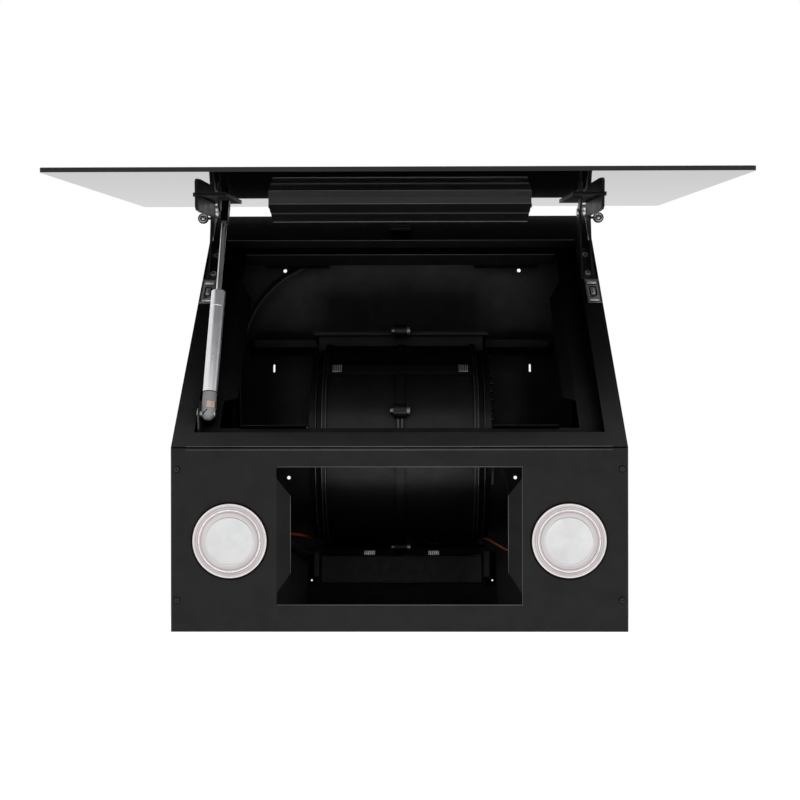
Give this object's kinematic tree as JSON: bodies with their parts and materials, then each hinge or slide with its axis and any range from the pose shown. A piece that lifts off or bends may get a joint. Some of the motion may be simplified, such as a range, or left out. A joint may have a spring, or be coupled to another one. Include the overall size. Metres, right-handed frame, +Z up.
{
  "type": "range hood",
  "caption": "Inclined wall hood with a lifting glass front on a gas strut, open filter bays, twin lamps and a centrifugal fan.",
  "frame": {"origin": "on the wall plane, midway between the two upper hanging holes", "axes": "+Z up, +Y into the wall, +X to the right of someone facing the hood"},
  "size_m": [0.6, 0.5763, 0.4895],
  "materials": {
    "powder_coat": "fine matt black powder coat",
    "inner_coat": "satin black coat",
    "black_steel": "semi-gloss black",
    "housing_plastic": "fine-grained black moulded plastic",
    "fan_plastic": "smooth black moulded plastic",
    "touch_plastic": "satin black",
    "black_glass": "polished opaque black glass",
    "lamp_metal": "satin, slightly pink",
    "lamp_frost": "frosted white",
    "nickel": "nickel plated",
    "black_screw": "black oxide",
    "strut_paint": "silver-grey paint",
    "strut_grey": "grey moulded plastic",
    "strut_brass": "dull brass",
    "rod_chrome": "hard chrome",
    "cable_rubber": "matt black sheath",
    "wire_red": "red insulation",
    "wire_orange": "orange-brown insulation",
    "wire_grey": "grey insulation"
  },
  "bodies": {
    "carcass": {"side_left": "powder_coat", "side_right": "powder_coat", "back_panel": "inner_coat", "top_panel": "powder_coat", "bottom_panel": "powder_coat", "rear_ledge": "inner_coat", "hanging_tab_left": "inner_coat", "hanging_tab_right": "inner_coat", "upper_frame": "powder_coat", "frame_stop": "black_screw", "lower_panel": "powder_coat", "panel_screws": "black_screw", "lamp_ring_left": "lamp_metal", "lamp_lens_left": "lamp_frost", "lamp_can_left": "black_steel", "lamp_ring_right": "lamp_metal", "lamp_lens_right": "lamp_frost", "lamp_can_right": "black_steel", "scroll_left": "fan_plastic", "scroll_right": "fan_plastic", "scroll_bolts": "nickel", "joint_strip": "fan_plastic", "strip_clips": "nickel", "motor": "black_steel", "motor_bracket": "inner_coat", "duct_collar": "fan_plastic", "damper_pin": "nickel", "control_housing": "housing_plastic", "control_lid": "housing_plastic", "control_latches": "nickel", "hinge_arm_left": "black_steel", "hinge_arm_right": "black_steel", "hinge_plate_left": "nickel", "hinge_plate_right": "nickel", "hinge_pins": "nickel", "hinge_screws": "nickel", "strut_stand": "black_steel", "strut_stud": "nickel", "terminal_box": "housing_plastic", "mains_gland": "fan_plastic", "mains_cable": "cable_rubber", "lamp_wire_left": "wire_red", "lamp_wire_right": "wire_orange", "motor_wire": "wire_grey"},
    "glass": {"glass_panel": "black_glass", "touch_housing": "touch_plastic", "touch_cover": "touch_plastic", "touch_screws": "black_screw", "glass_bracket_left": "black_steel", "glass_bracket_right": "black_steel"},
    "strut_barrel": {"strut_cylinder": "strut_paint", "strut_cap": "strut_grey", "strut_ring": "strut_brass"},
    "strut_piston": {"strut_rod": "rod_chrome", "strut_eye": "fan_plastic"},
    "fan_wheel": {"impeller": "fan_plastic", "motor_shaft": "nickel"},
    "damper_left_leaf": {"damper_left": "fan_plastic"},
    "damper_right_leaf": {"damper_right": "fan_plastic"}
  },
  "joints": [
    {"name": "glass_hinge", "type": "hinge", "parent": "carcass", "child": "glass", "pos_m": [0, -0.22461, 0.00685], "axis": [1, 0, 0], "range_deg": [0, 40]},
    {"name": "strut_swing", "type": "hinge", "parent": "carcass", "child": "strut_barrel", "pos_m": [-0.1885, -0.36521, -0.24322], "axis": [1, 0, 0], "range_deg": [-14.77, 0.1]},
    {"name": "strut_stroke", "type": "slide", "parent": "strut_barrel", "child": "strut_piston", "axis": [0.0259, 0.1858, 0.9822], "range_m": [-0.04395, 0.0002]},
    {"name": "fan_spin", "type": "hinge", "parent": "carcass", "child": "fan_wheel", "pos_m": [0, -0.1647, -0.25], "axis": [1, 0, 0], "continuous": true},
    {"name": "damper_left_swing", "type": "hinge", "parent": "carcass", "child": "damper_left_leaf", "pos_m": [0, -0.0213, -0.19], "axis": [0, 0, -1], "range_deg": [0, 75]},
    {"name": "damper_right_swing", "type": "hinge", "parent": "carcass", "child": "damper_right_leaf", "pos_m": [0, -0.0213, -0.19], "axis": [0, 0, 1], "range_deg": [0, 75]}
  ],
  "couplings": [
    {"joint": "strut_swing", "follows": "glass_hinge", "ratio": -0.36432},
    {"joint": "strut_stroke", "follows": "glass_hinge", "m_per_rad": -0.062243}
  ]
}
